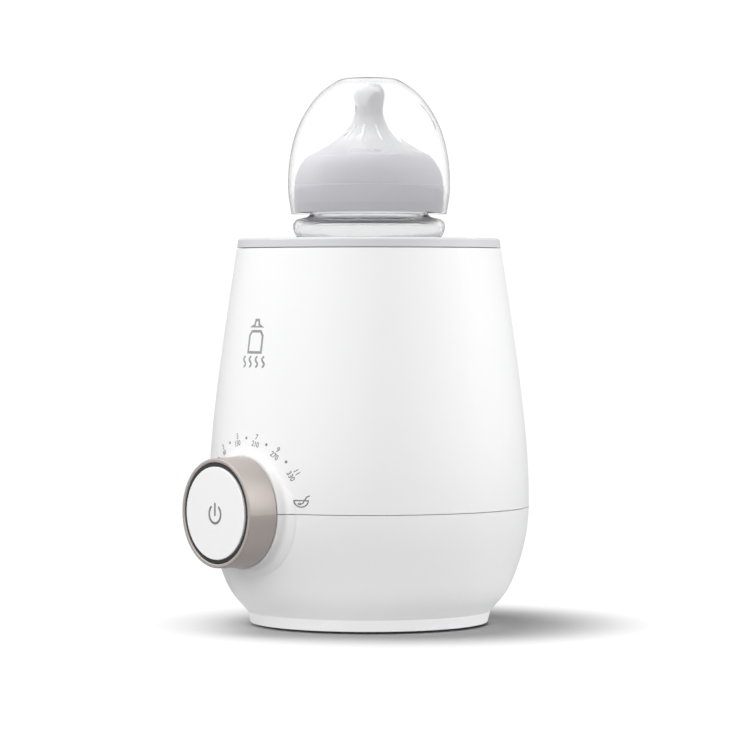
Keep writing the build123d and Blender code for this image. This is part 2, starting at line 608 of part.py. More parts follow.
with BuildPart() as push_switch:
    with BuildSketch(across_dial(PCB_FACE)):
        Rectangle(6, 6)
    extrude(amount=2.8)
    with BuildSketch(across_dial(PCB_FACE + 2.8)):
        Circle(1.7)
    extrude(amount=0.9)
finish(push_switch, "push_switch")

with BuildPart() as dial_reader:
    with BuildSketch(Plane.YZ.offset(-3)):
        with Locations((-(PCB_FACE + 3.2), SEAM_Z + 19.2)):
            Rectangle(6.4, 4.8)
        with Locations((-WHEEL_MID, SEAM_Z + 18.2)):
            Rectangle(2.2, 4.4, mode=Mode.SUBTRACT)
    extrude(amount=6)
finish(dial_reader, "dial_reader")

# ---------------------------------------------------------------- fixed core of the dial
with BuildPart() as dial_core:
    with BuildSketch(DIAL_SECTION):
        with BuildLine():
            Polyline((8.2, PCB_FACE), (CORE_R, PCB_FACE), (CORE_R, CORE_FLANGE), (21.0, CORE_FLANGE),
                     (21.0, RING_BOARD), (CORE_BORE_R, RING_BOARD), (CORE_BORE_R, CORE_FLOOR1),
                     (STEM_R + 0.1, CORE_FLOOR1), (STEM_R + 0.1, CORE_FLOOR0), (CORE_BORE_R, CORE_FLOOR0),
                     (CORE_BORE_R, PCB_FACE + 4), (8.2, PCB_FACE + 4), (8.2, PCB_FACE))
        make_face()
    revolve(axis=DIAL_AXIS)
    with BuildSketch(across_dial(PCB_FACE)):
        with PolarLocations(CORE_SCREW_R, 3, 90):
            Circle(0.85)
    extrude(amount=4, mode=Mode.SUBTRACT)
    with BuildSketch(across_dial(PCB_FACE)):
        with PolarLocations(PIN_PITCH_R, 4, 45):
            Circle(PIN_HOLE_R)
    extrude(amount=RING_BOARD - PCB_FACE, mode=Mode.SUBTRACT)
finish(dial_core, "dial_core")

with BuildPart() as core_screws:
    head_r, head_h, thread_r, thread_l = CORE_SCREW
    with BuildSketch(across_dial(PCB_BACK)):
        with PolarLocations(CORE_SCREW_R, 3, 90):
            Circle(head_r)
    extrude(amount=-head_h)
    with BuildSketch(across_dial(PCB_BACK)):
        with PolarLocations(CORE_SCREW_R, 3, 90):
            Circle(thread_r)
    extrude(amount=thread_l)
finish(core_screws, "core_screws")

with BuildPart() as indicator_board:
    with BuildSketch(across_dial(RING_BOARD)):
        Circle(20.2)
        Circle(CORE_BORE_R + 0.2, mode=Mode.SUBTRACT)
        with PolarLocations(PIN_PITCH_R, 4, 45):
            Circle(PIN_HOLE_R, mode=Mode.SUBTRACT)
    extrude(amount=RING_BOARD_T)
finish(indicator_board, "indicator_board")

with BuildPart() as indicator_leds:
    with BuildSketch(across_dial(RING_BOARD + RING_BOARD_T)):
        with PolarLocations(LED_RING_R, 8):
            Rectangle(LED_W, LED_L)
    extrude(amount=LED_T)
finish(indicator_leds, "indicator_leds")

with BuildPart() as indicator_pins:
    with BuildSketch(across_dial(PCB_BACK)):
        with PolarLocations(PIN_PITCH_R, 4, 45):
            Circle(PIN_R)
    extrude(amount=RING_BOARD + RING_BOARD_T - PCB_BACK)
finish(indicator_pins, "indicator_pins")

with BuildPart() as light_ring:
    with BuildSketch(DIAL_SECTION):
        with BuildLine():
            Polyline((GUIDE_LIP_R, GUIDE_Z - 0.8), (GUIDE_R - 0.7, GUIDE_Z - 0.8),
                     (GUIDE_R - 0.7, RING_BOARD), (GUIDE_R, RING_BOARD), (GUIDE_R, GUIDE_Z),
                     (GUIDE_LIP_R, GUIDE_Z), (GUIDE_LIP_R, GUIDE_Z - 0.8))
        make_face()
    revolve(axis=DIAL_AXIS)
finish(light_ring, "light_ring")

# ---------------------------------------------------------------- turning dial
with BuildPart() as dial_ring:
    with BuildSketch(DIAL_SECTION):
        with BuildLine():
            FilletPolyline((LIP_R + 0.2, DIAL_BACK), (DIAL_BACK_R, DIAL_BACK), (DIAL_FACE_R, DIAL_FACE),
                           (LIP_R, DIAL_FACE), (LIP_R, WEB_FACE), radius=0.45)
            Polyline((LIP_R, WEB_FACE), (SLEEVE_IN_R, WEB_FACE), (SLEEVE_IN_R, SLEEVE_BACK),
                     (SLEEVE_OUT_R, SLEEVE_BACK), (SLEEVE_OUT_R, WEB_BACK), (LIP_R + 0.2, WEB_BACK),
                     (LIP_R + 0.2, DIAL_BACK))
        make_face()
    revolve(axis=DIAL_AXIS)
    with BuildSketch(Plane(origin=(0, -POINTER_D0, SEAM_Z + DIAL_FACE_R - 0.45), z_dir=(0, 0, 1))):
        Rectangle(POINTER_W, POINTER_L)
    extrude(amount=2, mode=Mode.SUBTRACT)
finish(dial_ring, "dial_ring")

with BuildPart() as dial_pointer:
    with BuildSketch(Plane(origin=(0, -POINTER_D0, SEAM_Z + DIAL_FACE_R - 0.45), z_dir=(0, 0, 1))):
        Rectangle(POINTER_W, POINTER_L)
    extrude(amount=0.5)
finish(dial_pointer, "dial_pointer")

with BuildPart() as dial_retainer:
    with BuildSketch(across_dial(PAD_BACK - 0.3)):
        Circle(RETAINER_R)
        Circle(SLEEVE_OUT_R + SNUG, mode=Mode.SUBTRACT)
    extrude(amount=-RETAINER_T)
finish(dial_retainer, "dial_retainer")

with BuildPart() as code_wheel:
    with BuildSketch(across_dial(WHEEL_MID - WHEEL_T / 2)):
        Circle(WHEEL_R)
        Circle(SLEEVE_OUT_R + SNUG, mode=Mode.SUBTRACT)
        with PolarLocations(WHEEL_R - 1.6, WHEEL_SLOTS):
            Rectangle(2.4, 1.2, mode=Mode.SUBTRACT)
    extrude(amount=WHEEL_T)
finish(code_wheel, "code_wheel")

# ---------------------------------------------------------------- power button
with BuildPart() as power_button:
    with BuildSketch(DIAL_SECTION):
        with BuildLine():
            Polyline((0, STEM_END), (STEM_R, STEM_END), (STEM_R, BUTTON_BACK), (9.8, BUTTON_BACK), (9.8, 76),
                     (CORE_BORE_R - 0.1, 76), (CORE_BORE_R - 0.1, BUTTON_BACK), (BUTTON_R, BUTTON_BACK),
                     (BUTTON_R, BUTTON_FACE - 0.35))
            ThreePointArc((BUTTON_R, BUTTON_FACE - 0.35), (BUTTON_R - 0.1, BUTTON_FACE - 0.1),
                          (BUTTON_R - 0.35, BUTTON_FACE))
            Polyline((BUTTON_R - 0.35, BUTTON_FACE), (0, BUTTON_FACE), (0, STEM_END))
        make_face()
    revolve(axis=DIAL_AXIS)
finish(power_button, "power_button")

with BuildPart() as button_spring:
    with BuildLine():
        turns = Helix(pitch=1.9, height=BUTTON_BACK - CORE_FLOOR1 - 0.8, radius=5,
                      center=(0, -CORE_FLOOR1 - 0.4, SEAM_Z), direction=(0, -1, 0))
    with BuildSketch(Plane(origin=turns @ 0, z_dir=turns % 0)):
        Circle(0.3)
    sweep(is_frenet=True)
finish(button_spring, "button_spring")

# ---------------------------------------------------------------- cord gland and inner leads
with BuildPart() as cord_gland:
    with BuildSketch(across_gland(GLAND_Y0)):
        Circle(GLAND_INNER_R)
    extrude(amount=GLAND_PAD_Y - WALL - GLAND_Y0)
    with BuildSketch(across_gland(GLAND_PAD_Y - WALL)):
        RectangleRounded(GLAND_HOLE - 2 * FIT, GLAND_HOLE - 2 * FIT, 2)
    extrude(amount=WALL)
    with BuildSketch(across_gland(GLAND_PAD_Y)):
        Circle(GLAND_OUTER_R)
    extrude(amount=GLAND_Y1 - GLAND_PAD_Y)
    fillet(cord_gland.edges().group_by(Axis.Y)[-1], radius=0.9)
    with BuildSketch(across_gland(GLAND_Y0)):
        Circle(GLAND_BORE_R)
    extrude(amount=GLAND_Y1 - GLAND_Y0, mode=Mode.SUBTRACT)
finish(cord_gland, "cord_gland")


def start_plane(points):
    """Plane square to a route's first run, at its start."""
    return Plane(origin=points[0], z_dir=Vector(*points[1]) - Vector(*points[0]))


with BuildPart() as heater_leads:
    for side in (-1, 1):
        route = [(side * ELEMENT_LEAD_X, ELEMENT_LEAD_Y, TERMINAL_Z),
                 (side * ELEMENT_LEAD_X, ELEMENT_LEAD_Y, 38),
                 (side * (ELEMENT_LEAD_X + LEAD_OUT), ELEMENT_LEAD_Y + 1, 30),
                 (side * (ELEMENT_LEAD_X + LEAD_OUT), ELEMENT_LEAD_Y + 1, BOARD_Z1)]
        with BuildLine():
            FilletPolyline(*route, radius=LEAD_BEND)
        with BuildSketch(start_plane(route)):
            Circle(LEAD_R)
        sweep()
finish(heater_leads, "heater_leads")

with BuildPart() as sensor_lead:
    route = [(SENSOR_X - 9, SENSOR_Y - 2, SENSOR_Z0 + 0.6), (SENSOR_X - 9, SENSOR_Y - 2, 38),
             (SENSOR_X - 11, SENSOR_Y - 10, 30), (SENSOR_X - 11, SENSOR_Y - 10, BOARD_Z1)]
    with BuildLine():
        FilletPolyline(*route, radius=LEAD_BEND)
    with BuildSketch(start_plane(route)):
        Circle(SENSOR_LEAD_R)
    sweep()
finish(sensor_lead, "sensor_lead")

with BuildPart() as cable_sockets:
    with BuildSketch(across_dial(PCB_BACK)):
        with Locations((CABLE_X, CABLE_Z - SEAM_Z)):
            Rectangle(*SOCKET_SIZE)
    extrude(amount=-4)
    with BuildSketch(Plane.XY.offset(BOARD_Z1)):
        with Locations((CABLE_X, CABLE_SOCKET_Y)):
            Rectangle(*SOCKET_SIZE)
    extrude(amount=5)
finish(cable_sockets, "cable_sockets")

with BuildPart() as board_cable:
    with BuildLine(Plane.YZ.offset(CABLE_X)):
        FilletPolyline((4 - PCB_BACK, CABLE_Z), (-44, CABLE_Z), (-35, 34), (CABLE_SOCKET_Y, 34),
                       (CABLE_SOCKET_Y, BOARD_Z1 + 5), radius=3)
    with BuildSketch(Plane(origin=(CABLE_X, 4 - PCB_BACK, CABLE_Z), x_dir=(1, 0, 0), z_dir=(0, 1, 0))):
        Rectangle(RIBBON_W, RIBBON_T)
    sweep()
finish(board_cable, "board_cable")

# ---------------------------------------------------------------- baby bottle
with BuildPart() as bottle:
    with BuildSketch(Plane.XZ):
        with BuildLine():
            Line((0, BOTTLE_BASE_Z), (27.4, BOTTLE_BASE_Z))
            TangentArc((27.4, BOTTLE_BASE_Z), (31.4, BOTTLE_BASE_Z + 4), tangent=(1, 0))
            Spline((31.4, BOTTLE_BASE_Z + 4), (32.5, 95), (29.6, 145), (31.2, 167), (32.8, 172.0),
                   tangents=[(0, 1), (0, 1)])
            Spline((32.8, 172.0), (30.6, 175.2), (NECK_R, 178.2), tangents=[(0, 1), (0, 1)])
            Polyline((NECK_R, 178.2), (NECK_R, NECK_TOP_Z), (NECK_R - BOTTLE_WALL, NECK_TOP_Z),
                     (NECK_R - BOTTLE_WALL, 177.6))
            Spline((NECK_R - BOTTLE_WALL, 177.6), (29.2, 173.9), (31.0, 171.6), tangents=[(0, -1), (0, -1)])
            Spline((31.0, 171.6), (29.4, 167.2), (27.8, 145), (30.7, 95), (29.6, BOTTLE_BASE_Z + 4.4),
                   tangents=[(0, -1), (0, -1)])
            TangentArc((29.6, BOTTLE_BASE_Z + 4.4), (27.0, BOTTLE_BASE_Z + BOTTLE_WALL), tangent=(0, -1))
            Polyline((27.0, BOTTLE_BASE_Z + BOTTLE_WALL), (0, BOTTLE_BASE_Z + BOTTLE_WALL),
                     (0, BOTTLE_BASE_Z))
        make_face()
    revolve(axis=Axis.Z)
finish(bottle, "bottle")

with BuildPart() as teat:
    with BuildSketch(Plane.XZ):
        with BuildLine():
            Polyline((TEAT_BORE_R, TEAT_Z0), (TEAT_FLANGE_R, TEAT_Z0), (TEAT_FLANGE_R, TEAT_Z0 + 1.6),
                     (23.8, TEAT_Z0 + 1.6), (23.8, 203.2))
            Spline((23.8, 203.2), (15.2, 208.4), (9.3, 213.6), (6.3, 219.5), (6.0, 222.0),
                   tangents=[(-0.86, 0.5), (0, 1)])
            Spline((6.0, 222.0), (6.75, 228.0), (6.2, 231.2), (4.9, 232.8), (0, TEAT_TIP_Z),
                   tangents=[(0, 1), (-1, 0)])
            Line((0, TEAT_TIP_Z), (0, TEAT_TIP_Z - 1.5))
            Spline((0, TEAT_TIP_Z - 1.5), (3.9, 231.3), (5.1, 228.0), (4.4, 222.0), tangents=[(1, 0), (0, -1)])
            Spline((4.4, 222.0), (4.8, 218.9), (8.0, 212.7), (14.2, 206.9), (TEAT_BORE_R, 202.2),
                   tangents=[(0, -1), (0.86, -0.5)])
            Line((TEAT_BORE_R, 202.2), (TEAT_BORE_R, TEAT_Z0))
        make_face()
    revolve(axis=Axis.Z)
finish(teat, "teat")

with BuildPart() as screw_collar:
    with BuildSketch(Plane.XZ):
        with BuildLine():
            Polyline((24.4, 197.2), (COLLAR_BORE_R, 197.2), (COLLAR_BORE_R, COLLAR_Z0), (31.9, COLLAR_Z0),
                     (COLLAR_R, COLLAR_Z0 + 4), (COLLAR_R, 189.3), (COLLAR_R - 0.35, 189.7))
            Spline((COLLAR_R - 0.35, 189.7), (31.0, 195.4), (28.2, 200.4), (24.9, COLLAR_Z1),
                   tangents=[(0, 1), (-1, 0.45)])
            Polyline((24.9, COLLAR_Z1), (24.4, COLLAR_Z1 - 0.6), (24.4, 197.2))
        make_face()
    revolve(axis=Axis.Z)
finish(screw_collar, "screw_collar")

# the cap is its outer dome less its hollow, each with a soft-edged finger dent on either side
with BuildPart() as cap_hollow:
    with BuildSketch(Plane.YZ):
        with BuildLine():
            Polyline((0, CAP_Z0 - 1), (CAP_R - CAP_WALL, CAP_Z0 - 1), (CAP_R - CAP_WALL, CAP_Z0))
            Spline((CAP_R - CAP_WALL, CAP_Z0), (33.65, 185.4), (33.85, 191.0), (32.6, 204.3), (28.0, 217.9),
                   (23.75, 224.6), (19.15, 229.65), (14.6, 232.9), (0, CAP_TOP_Z - CAP_WALL),
                   tangents=[(0.12, 1), (-1, 0)])
            Line((0, CAP_TOP_Z - CAP_WALL), (0, CAP_Z0 - 1))
        make_face()
    revolve(axis=Axis.Z)
    with Locations((DENT_X, 0, DENT_Z), (-DENT_X, 0, DENT_Z)):
        Sphere(DENT_R + CAP_WALL, mode=Mode.SUBTRACT)
    dent_edges = [edge for edge in cap_hollow.edges(Select.LAST) if abs(edge.center().X) > CAP_R / 2]
    fillet(dent_edges, radius=DENT_EDGE - CAP_WALL)

with BuildPart() as dome_cap:
    with BuildSketch(Plane.YZ):
        with BuildLine():
            Line((0, CAP_Z0), (CAP_R, CAP_Z0))
            Spline((CAP_R, CAP_Z0), (34.8, 185.4), (35.0, 191.0), (33.7, 204.5), (29.1, 218.3), (24.7, 225.3),
                   (19.95, 230.5), (15.2, 233.9), (0, CAP_TOP_Z), tangents=[(0.12, 1), (-1, 0)])
            Line((0, CAP_TOP_Z), (0, CAP_Z0))
        make_face()
    revolve(axis=Axis.Z)
    with Locations((DENT_X, 0, DENT_Z), (-DENT_X, 0, DENT_Z)):
        Sphere(DENT_R, mode=Mode.SUBTRACT)
    dent_edges = [edge for edge in dome_cap.edges(Select.LAST) if abs(edge.center().X) > CAP_R / 2]
    fillet(dent_edges, radius=DENT_EDGE)
    add(cap_hollow.part, mode=Mode.SUBTRACT)
finish(dome_cap, "dome_cap")
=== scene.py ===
"""Looks for the bottle warmer: materials, printed marks, small moulded details, studio and camera.

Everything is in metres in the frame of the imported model: the origin is on the floor under the body,
+Z is up and the dial faces -Y.
"""

import json
import math

import bmesh
import bpy
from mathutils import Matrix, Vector
from mathutils.bvhtree import BVHTree


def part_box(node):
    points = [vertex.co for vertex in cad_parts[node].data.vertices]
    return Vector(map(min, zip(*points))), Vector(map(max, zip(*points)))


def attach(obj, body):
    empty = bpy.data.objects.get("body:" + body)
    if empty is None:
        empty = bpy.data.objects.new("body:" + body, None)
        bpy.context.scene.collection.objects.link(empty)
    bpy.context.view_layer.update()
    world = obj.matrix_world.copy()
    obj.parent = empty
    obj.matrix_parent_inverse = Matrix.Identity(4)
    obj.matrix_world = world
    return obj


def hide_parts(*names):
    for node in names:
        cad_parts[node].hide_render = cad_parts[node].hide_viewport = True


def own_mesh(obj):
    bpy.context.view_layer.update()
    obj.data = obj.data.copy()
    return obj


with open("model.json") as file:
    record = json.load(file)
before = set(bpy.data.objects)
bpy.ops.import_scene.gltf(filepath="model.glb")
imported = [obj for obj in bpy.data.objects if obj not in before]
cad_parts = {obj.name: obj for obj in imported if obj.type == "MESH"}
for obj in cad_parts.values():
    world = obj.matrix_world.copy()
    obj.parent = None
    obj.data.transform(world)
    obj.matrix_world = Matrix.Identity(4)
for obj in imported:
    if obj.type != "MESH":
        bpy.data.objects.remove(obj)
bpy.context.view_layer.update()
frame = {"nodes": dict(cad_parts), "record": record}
scene = bpy.context.scene
NODES = frame["nodes"]

# ---------------------------------------------------------------- places, read from the frame
DIAL_Z = sum(corner.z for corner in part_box("dial_ring")) / 2
BUTTON_FACE_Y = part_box("power_button")[0].y
OBJECT_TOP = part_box("dome_cap")[1].z

# ---------------------------------------------------------------- studio choices
VIEW_AZIMUTH = math.radians(49.5)     # the camera stands this far round from the dial's front
CAMERA_DISTANCE = 1.558
CAMERA_HEIGHT = 0.1454
CAMERA_PITCH = math.radians(1.385)
CAMERA_ASIDE = 0.0026                 # the view's centre passes this far to the right of the body's axis
LENS_MM, SENSOR_MM = 172.8, 36.0
SEEN_WHITE = 1.05                     # brightness of the world and the far floor as the camera sees them
WORLD_LIGHT = 0.29                    # and as a light
GLOSS_LIGHT = 0.5                     # the world in reflections, away from the diffusers
DIFFUSER_ASIDE, DIFFUSER_UP = 0.84, 0.54   # where the diffusers stand, as a direction
DIFFUSER_TIGHT, DIFFUSER_LIGHT = 3.0, 2.2  # how narrow and how bright they are
FLOOR_SEEN, FLOOR_BOUNCE = 0.51, 0.75      # the floor's grey for the camera, and for light that bounces
FLOOR_REACH = 12.0                    # half the floor's width
FLOOR_FADE = (0.06, 0.12)             # the shadow is full up to the first distance and gone at the second
SHADOW_ASIDE = 0.014                  # centre of that fade, to the right of the body's axis


# ---------------------------------------------------------------- materials
MATERIALS = {}                        # every material by its name, which is also its slot's name


def material(name, colour, roughness, **sockets):
    """A Principled material with its plain values set on the shader's own sockets."""
    made = bpy.data.materials.new(name)
    made.use_nodes = True
    shader = shader_of(made)
    shader.inputs["Base Color"].default_value = (*colour, 1)
    shader.inputs["Roughness"].default_value = roughness
    for socket, value in sockets.items():
        shader.inputs[socket.replace("_", " ")].default_value = value
    MATERIALS[name] = made
    return made


def shader_of(made):
    return made.node_tree.nodes["Principled BSDF"]


def object_coordinates(made, stretch=(1, 1, 1)):
    """The piece's own coordinates, stretched so that a pattern can run along one axis."""
    nodes, links = made.node_tree.nodes, made.node_tree.links
    place = nodes.new("ShaderNodeTexCoord")
    mapping = nodes.new("ShaderNodeMapping")
    mapping.inputs["Scale"].default_value = stretch
    links.new(place.outputs["Object"], mapping.inputs["Vector"])
    return mapping.outputs["Vector"]


def noise(made, scale, detail=3.0, stretch=(1, 1, 1)):
    node = made.node_tree.nodes.new("ShaderNodeTexNoise")
    node.inputs["Scale"].default_value = scale
    node.inputs["Detail"].default_value = detail
    made.node_tree.links.new(object_coordinates(made, stretch), node.inputs["Vector"])
    return node.outputs["Fac"]


def spread(made, factor, low, high):
    """Map a 0-1 pattern to the range low-high."""
    node = made.node_tree.nodes.new("ShaderNodeMapRange")
    node.inputs["From Min"].default_value = 0.25
    node.inputs["From Max"].default_value = 0.75
    node.inputs["To Min"].default_value = low
    node.inputs["To Max"].default_value = high
    made.node_tree.links.new(factor, node.inputs["Value"])
    return node.outputs["Result"]


def vary_colour(made, factor, colour_a, colour_b):
    nodes, links = made.node_tree.nodes, made.node_tree.links
    ramp = nodes.new("ShaderNodeValToRGB")
    ramp.color_ramp.elements[0].position = 0.3
    ramp.color_ramp.elements[1].position = 0.7
    ramp.color_ramp.elements[0].color = (*colour_a, 1)
    ramp.color_ramp.elements[1].color = (*colour_b, 1)
    links.new(factor, ramp.inputs["Fac"])
    links.new(ramp.outputs["Color"], shader_of(made).inputs["Base Color"])


def bump(made, factor, depth):
    """Raise the surface by a pattern whose full height is depth metres."""
    nodes, links = made.node_tree.nodes, made.node_tree.links
    node = nodes.new("ShaderNodeBump")
    node.inputs["Strength"].default_value = 1.0
    node.inputs["Distance"].default_value = depth
    links.new(factor, node.inputs["Height"])
    links.new(node.outputs["Normal"], shader_of(made).inputs["Normal"])


def moulded(name, colour, roughness, grain=2600.0, depth=0.000012, tint=0.02, **sockets):
    """Moulded plastic: a fine tool grain, slow colour drift and slightly uneven gloss."""
    made = material(name, colour, roughness, **sockets)
    darker = tuple(max(0.0, c * (1 - tint)) for c in colour)
    vary_colour(made, noise(made, 22, 2), darker, colour)
    links = made.node_tree.links
    links.new(spread(made, noise(made, 60, 4), roughness * 0.93, roughness * 1.07),
              shader_of(made).inputs["Roughness"])
    bump(made, noise(made, grain, 2), depth)
    return made


def brushed(name, colour, roughness, stretch):
    """Metal with fine lines along one axis."""
    made = material(name, colour, roughness, Metallic=1.0)
    lines = noise(made, 900, 3, stretch)
    darker = tuple(c * 0.82 for c in colour)
    vary_colour(made, lines, darker, colour)
    made.node_tree.links.new(spread(made, lines, roughness * 0.8, roughness * 1.25),
                             shader_of(made).inputs["Roughness"])
    bump(made, lines, 0.000015)
    return made


def clear_plastic(name, colour, roughness, ior, clarity=1.0, gloss=0.5, edge=0.82):
    """Clear or cloudy plastic.

    clarity is the share of light that passes through, and edge is how much of its colour is left where
    the wall is seen at a grazing angle: a painted shade that darkens the outline by the viewing angle.
    """
    made = material(name, colour, roughness, IOR=ior, Transmission_Weight=clarity,
                    Specular_IOR_Level=gloss)
    nodes, links = made.node_tree.nodes, made.node_tree.links
    # painted shade: the base colour darkens towards the outline, where the wall is seen at a grazing angle
    slant = nodes.new("ShaderNodeLayerWeight")
    depth = nodes.new("ShaderNodeValToRGB")
    face_on, painted_edge_shade = depth.color_ramp.elements
    face_on.position, painted_edge_shade.position = 0.66, 0.96
    face_on.color = (*colour, 1)
    painted_edge_shade.color = (*(c * edge for c in colour), 1)
    links.new(slant.outputs["Facing"], depth.inputs["Fac"])
    links.new(depth.outputs["Color"], shader_of(made).inputs["Base Color"])
    links.new(spread(made, noise(made, 45, 3), roughness * 0.7, roughness * 1.3),
              shader_of(made).inputs["Roughness"])
    bump(made, noise(made, 35, 2), 0.00003)
    return made


moulded("housing_white", (0.86, 0.86, 0.865), 0.33, grain=1800, depth=0.000006, tint=0.008)
moulded("base_white", (0.75, 0.75, 0.745), 0.5)
moulded("rim_grey", (0.60, 0.60, 0.61), 0.38, depth=0.00001)
moulded("dial_taupe", (0.455, 0.408, 0.382), 0.38, depth=0.00001, Metallic=0.42)
moulded("button_white", (0.93, 0.93, 0.93), 0.36, depth=0.000006, tint=0.008)
moulded("smoked_plastic", (0.03, 0.03, 0.032), 0.22, depth=0.000004)
moulded("mark_dark", (0.05, 0.045, 0.045), 0.5)
moulded("inner_plastic", (0.42, 0.42, 0.41), 0.55, depth=0.00002)
moulded("code_black", (0.03, 0.03, 0.03), 0.5)
moulded("rubber_grey", (0.10, 0.10, 0.10), 0.75, grain=900, depth=0.00003)
moulded("seal_silicone", (0.75, 0.75, 0.73), 0.55)
brushed("chamber_aluminium", (0.72, 0.72, 0.73), 0.34, (1, 1, 0.04))
brushed("sheath_steel", (0.42, 0.40, 0.38), 0.38, (0.1, 1, 1))
brushed("screw_steel", (0.66, 0.66, 0.67), 0.3, (1, 1, 0.2))
spring_steel = brushed("spring_steel", (0.6, 0.6, 0.61), 0.25, (1, 1, 1))
brushed("contact_brass", (0.78, 0.6, 0.28), 0.28, (1, 1, 0.2))
moulded("insulation_felt", (0.72, 0.69, 0.60), 0.95, grain=700, depth=0.0004, tint=0.2)
moulded("board_green", (0.02, 0.13, 0.06), 0.35, grain=500, depth=0.00003, tint=0.25)
moulded("part_blue", (0.03, 0.07, 0.22), 0.35)
moulded("part_yellow", (0.62, 0.45, 0.07), 0.6, tint=0.15)
moulded("fuse_white", (0.76, 0.75, 0.71), 0.3)
moulded("led_white", (0.85, 0.82, 0.68), 0.2)
moulded("socket_cream", (0.72, 0.68, 0.52), 0.5)
moulded("lead_red", (0.30, 0.02, 0.015), 0.45)
moulded("lead_grey", (0.2, 0.2, 0.21), 0.5)
clear_plastic("fuse_glass", (0.95, 0.95, 0.95), 0.03, 1.5)
bottle_clear = clear_plastic("bottle_clear", (0.955, 0.957, 0.96), 0.07, 1.2, clarity=0.93)
clear_plastic("cap_clear", (0.985, 0.985, 0.99), 0.06, 1.36, gloss=0.25)
clear_plastic("teat_silicone", (0.93, 0.93, 0.935), 0.3, 1.36, clarity=0.35, gloss=0.35)
teat_rib = moulded("teat_rib", (0.92, 0.92, 0.925), 0.35, depth=0.000004)
moulded("collar_grey", (0.74, 0.735, 0.775), 0.55, depth=0.000008, Specular_IOR_Level=0.3)

for entry in frame["record"]["subparts"]:
    slots = NODES[entry["node"]].data.materials
    slots.clear()
    slots.append(MATERIALS[entry["material_slot"]])


# ---------------------------------------------------------------- helpers for added pieces
def keep_piece(name, mesh, made, body):
    """A finished mesh piece with its material, riding on a body."""
    piece = bpy.data.objects.new(name, mesh)
    scene.collection.objects.link(piece)
    mesh.materials.clear()
    mesh.materials.append(made)
    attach(piece, body)
    return piece


def finished_mesh(name, drawn):
    """The drawn shape as a mesh, with its faces turned outwards."""
    bmesh.ops.recalc_face_normals(drawn, faces=drawn.faces)
    mesh = bpy.data.meshes.new(name)
    drawn.to_mesh(mesh)
    drawn.free()
    return mesh


def surface_tree(node):
    """The surface of a CAD node, for rays to land on."""
    mesh = NODES[node].data
    return BVHTree.FromPolygons([v.co for v in mesh.vertices], [p.vertices for p in mesh.polygons])


# ---------------------------------------------------------------- printed marks
PRINT_FILM = 0.00003                  # thickness of a printed mark
STROKE_STEP = 0.000003                # later strokes lie this much higher, so that crossings stay clean
FINE = 0.0008                         # longest edge of a mark before it is laid on a curved wall
FONT_HEIGHT = 0.695                   # height of the digits of a font of size 1
IN_FRONT = 0.3                        # rays start this far in front of the body's axis


def direction(angle):
    return Vector((math.cos(angle), math.sin(angle)))


def pen_stroke(points, width, closed=False):
    """A flat strip of even width along points, with mitred corners and round ends."""
    count, half = len(points), width / 2
    corners = [Vector(p) for p in points]
    left, right_side = [], []
    for i, here in enumerate(corners):
        before = corners[i - 1] if i or closed else None
        after = corners[(i + 1) % count] if i < count - 1 or closed else None
        into = (here - before).normalized() if before else (after - here).normalized()
        out = (after - here).normalized() if after else into
        along = (into + out).normalized()
        reach = half / max(0.35, along.dot(out))
        side = Vector((-along.y, along.x)) * reach
        left.append(here + side)
        right_side.append(here - side)
    faces = [[right_side[i], right_side[(i + 1) % count], left[(i + 1) % count], left[i]]
             for i in range(count if closed else count - 1)]
    if not closed:
        for end, inner in ((corners[0], corners[1]), (corners[-1], corners[-2])):
            toward = end - inner
            first = math.atan2(toward.y, toward.x) - math.pi / 2
            faces.append([end + half * direction(first + math.pi * s / 8) for s in range(9)])
    return faces


def dot(centre, radius, count=28):
    return [[Vector(p) for p in ellipse_arc(centre, (radius, radius), 0, 360, count)[:-1]]]


def ellipse_arc(centre, radii, start, end, count=28):
    """Points along an elliptical arc, angles in degrees."""
    angles = [math.radians(start + (end - start) * i / count) for i in range(count + 1)]
    return [(centre[0] + radii[0] * math.cos(a), centre[1] + radii[1] * math.sin(a)) for a in angles]


def turned(faces, centre, clockwise):
    """Faces drawn about (0, 0), turned clockwise by some degrees and moved to centre."""
    angle = -math.radians(clockwise)
    cosine, sine = math.cos(angle), math.sin(angle)
    return [[Vector((centre[0] + p.x * cosine - p.y * sine, centre[1] + p.x * sine + p.y * cosine))
             for p in face] for face in faces]


def evaluated_mesh(holder):
    return bpy.data.meshes.new_from_object(
        holder.evaluated_get(bpy.context.evaluated_depsgraph_get()))


def lettering(text, height, squeeze):
    """Flat faces of a short text, centred on (0, 0)."""
    curve = bpy.data.curves.new("lettering", "FONT")
    curve.body = text
    curve.size = height / FONT_HEIGHT
    curve.resolution_u = 5
    curve.offset = height * BOLD
    holder = bpy.data.objects.new("lettering", curve)
    scene.collection.objects.link(holder)
    bpy.context.view_layer.update()
    flat = evaluated_mesh(holder)
    bpy.data.objects.remove(holder)
    xs, ys = [v.co.x for v in flat.vertices], [v.co.y for v in flat.vertices]
    middle = Vector(((min(xs) + max(xs)) / 2, (min(ys) + max(ys)) / 2))
    faces = [[(flat.vertices[i].co.xy - middle) * Vector((squeeze, 1)) for i in polygon.vertices]
             for polygon in flat.polygons]
    bpy.data.meshes.remove(flat)
    return faces


